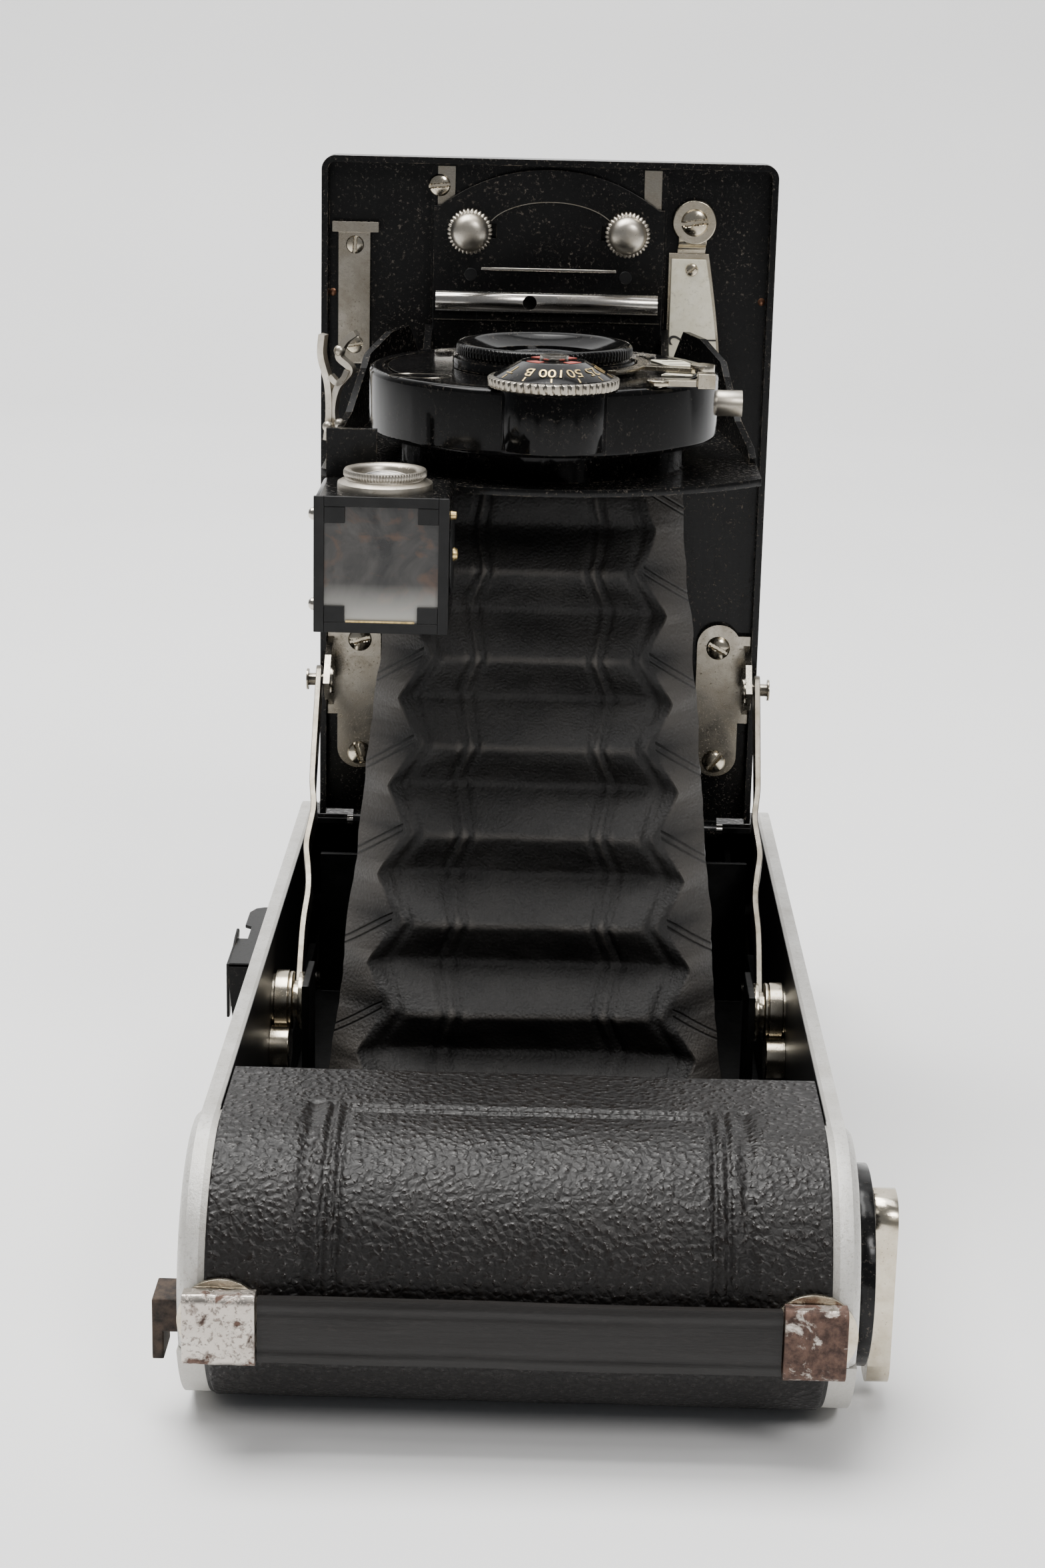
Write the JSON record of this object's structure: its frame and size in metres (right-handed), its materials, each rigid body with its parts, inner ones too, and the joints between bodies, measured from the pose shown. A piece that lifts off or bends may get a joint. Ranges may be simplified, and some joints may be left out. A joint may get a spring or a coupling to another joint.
{
  "type": "folding camera",
  "caption": "Folding roll-film camera, opened on its back: drop bed, leather bellows, leaf shutter, reflex finder, winding key and hinged back.",
  "frame": {"origin": "middle of the flat back that the camera rests on", "axes": "+Z the way the lens looks, +Y along the body towards the bed hinge, +X towards the winding key"},
  "size_m": [0.0898, 0.1755, 0.1427],
  "materials": {
    "cast_aluminium": "sandblasted, worn bright on the edges",
    "black_shell": "satin black",
    "grained_leather": "pebble grain, semi-gloss",
    "bellows_leather": "fine grain, worn at the folds",
    "strap_leather": "smooth, creased",
    "bright_steel": "polished",
    "nickel": "old nickel plate",
    "black_steel": "satin black",
    "black_enamel": "gloss black enamel, dusty and worn",
    "ivory": "ivory coloured plate",
    "lens_glass": "clear",
    "mirror": "polished",
    "red_glass": "clear red"
  },
  "bodies": {
    "body": {"side_plate_left": "cast_aluminium", "side_plate_right": "cast_aluminium", "front_shell_near": "black_shell", "front_shell_far": "black_shell", "end_leather": "grained_leather", "film_gate": "black_shell", "film_rollers": "bright_steel", "spool_pins": "bright_steel", "strut_pins": "nickel", "hinge_pins": "bright_steel", "key_washer": "black_steel", "side_catch": "black_shell", "strap": "strap_leather", "strap_clips": "nickel", "strap_studs": "nickel", "bellows": "bellows_leather"},
    "feed_reel": {"feed_spool": "black_steel"},
    "winder": {"take_up_spool": "black_steel", "key_shaft": "bright_steel", "winding_key": "nickel"},
    "back": {"back_door": "black_shell", "back_leather": "grained_leather", "pressure_plate": "black_shell", "pressure_spring": "bright_steel", "red_window": "red_glass"},
    "latch": {"back_latch": "black_steel"},
    "bed": {"bed_plate": "black_enamel", "bed_leather": "grained_leather", "track_plate": "black_enamel", "rails": "bright_steel", "bed_screws": "nickel", "bed_strip": "nickel", "distance_scale_base": "nickel", "distance_scale": "ivory", "strut_brackets": "black_enamel", "strut_rivets": "bright_steel"},
    "right_strut": {"strut_right": "nickel"},
    "left_strut": {"strut_left": "nickel"},
    "carriage": {"carriage_plate": "black_enamel", "clamp_bar": "nickel"},
    "left_knob": {"carriage_knob_left": "nickel"},
    "right_knob": {"carriage_knob_right": "nickel"},
    "standard": {"standard_plate": "black_enamel", "spring_catch": "nickel", "shutter_body": "black_enamel", "lens_ring": "nickel", "front_lens": "lens_glass", "rear_lens": "lens_glass", "aperture_scale": "ivory", "shutter_screws": "bright_steel", "cable_socket": "bright_steel"},
    "dial": {"speed_dial": "nickel", "dial_screw": "bright_steel"},
    "aperture": {"aperture_lever": "nickel"},
    "release": {"release_lever": "nickel"},
    "finder": {"finder_body": "black_enamel", "finder_window": "lens_glass", "finder_objective": "nickel", "finder_lens": "lens_glass", "finder_mirror": "mirror"}
  },
  "joints": [
    {"name": "bed_fold", "type": "hinge", "parent": "body", "child": "bed", "pos_m": [0, 0.0595, 0.035], "axis": [1, 0, 0], "range_deg": [0, 90], "deforming": ["bellows"]},
    {"name": "carriage_slide", "type": "slide", "parent": "bed", "child": "carriage", "axis": [0, 0, -1], "range_m": [0, 0.0455]},
    {"name": "standard_fold", "type": "hinge", "parent": "carriage", "child": "standard", "pos_m": [0, 0.035, 0.1045], "axis": [1, 0, 0], "range_deg": [-91, 0]},
    {"name": "finder_slide", "type": "slide", "parent": "standard", "child": "finder", "axis": [0, 0, 1], "range_m": [0, 0.0206]},
    {"name": "left_strut_swing", "type": "hinge", "parent": "bed", "child": "left_strut", "pos_m": [-0.0361, 0.0515, 0.0608], "axis": [1, 0, 0], "range_deg": [-123, 0]},
    {"name": "right_strut_swing", "type": "hinge", "parent": "bed", "child": "right_strut", "pos_m": [0.0361, 0.0515, 0.0608], "axis": [1, 0, 0], "range_deg": [-123, 0]},
    {"name": "left_knob_pinch", "type": "slide", "parent": "carriage", "child": "left_knob", "axis": [1, 0, 0], "range_m": [0, 0.002], "stiffness_N_per_m": 400},
    {"name": "right_knob_pinch", "type": "slide", "parent": "carriage", "child": "right_knob", "axis": [-1, 0, 0], "range_m": [0, 0.002], "stiffness_N_per_m": 400},
    {"name": "speed_dial_turn", "type": "hinge", "parent": "standard", "child": "dial", "pos_m": [0.0014, -0.0125, 0.118], "axis": [0, 0, 1], "range_deg": [-150, 150]},
    {"name": "aperture_swing", "type": "hinge", "parent": "standard", "child": "aperture", "pos_m": [0, 0.0095, 0.1178], "axis": [0, 0, 1], "range_deg": [-12, 32]},
    {"name": "release_press", "type": "hinge", "parent": "standard", "child": "release", "pos_m": [0.0155, -0.0081, 0.1176], "axis": [0, 0, 1], "range_deg": [0, 18], "stiffness_Nm_per_rad": 0.02},
    {"name": "back_open", "type": "hinge", "parent": "body", "child": "back", "pos_m": [0, 0.0857, 0.0118], "axis": [1, 0, 0], "range_deg": [0, 110]},
    {"name": "latch_slide", "type": "slide", "parent": "body", "child": "latch", "axis": [0, 1, 0], "range_m": [0, 0.004]},
    {"name": "winding", "type": "hinge", "parent": "body", "child": "winder", "pos_m": [0.04, -0.0675, 0.0175], "axis": [1, 0, 0], "continuous": true},
    {"name": "feed_spin", "type": "hinge", "parent": "body", "child": "feed_reel", "pos_m": [0, 0.0699, 0.0175], "axis": [1, 0, 0], "continuous": true}
  ],
  "couplings": [
    {"joint": "carriage_slide", "follows": "bed_fold", "m_per_rad": 0.028648},
    {"joint": "standard_fold", "follows": "bed_fold", "ratio": -1},
    {"joint": "finder_slide", "follows": "bed_fold", "m_per_rad": 0.013051},
    {"joint": "left_strut_swing", "follows": "bed_fold", "ratio": -1.3497},
    {"joint": "right_strut_swing", "follows": "bed_fold", "ratio": -1.3497},
    {"joint": "right_knob_pinch", "follows": "left_knob_pinch", "ratio": 1}
  ]
}
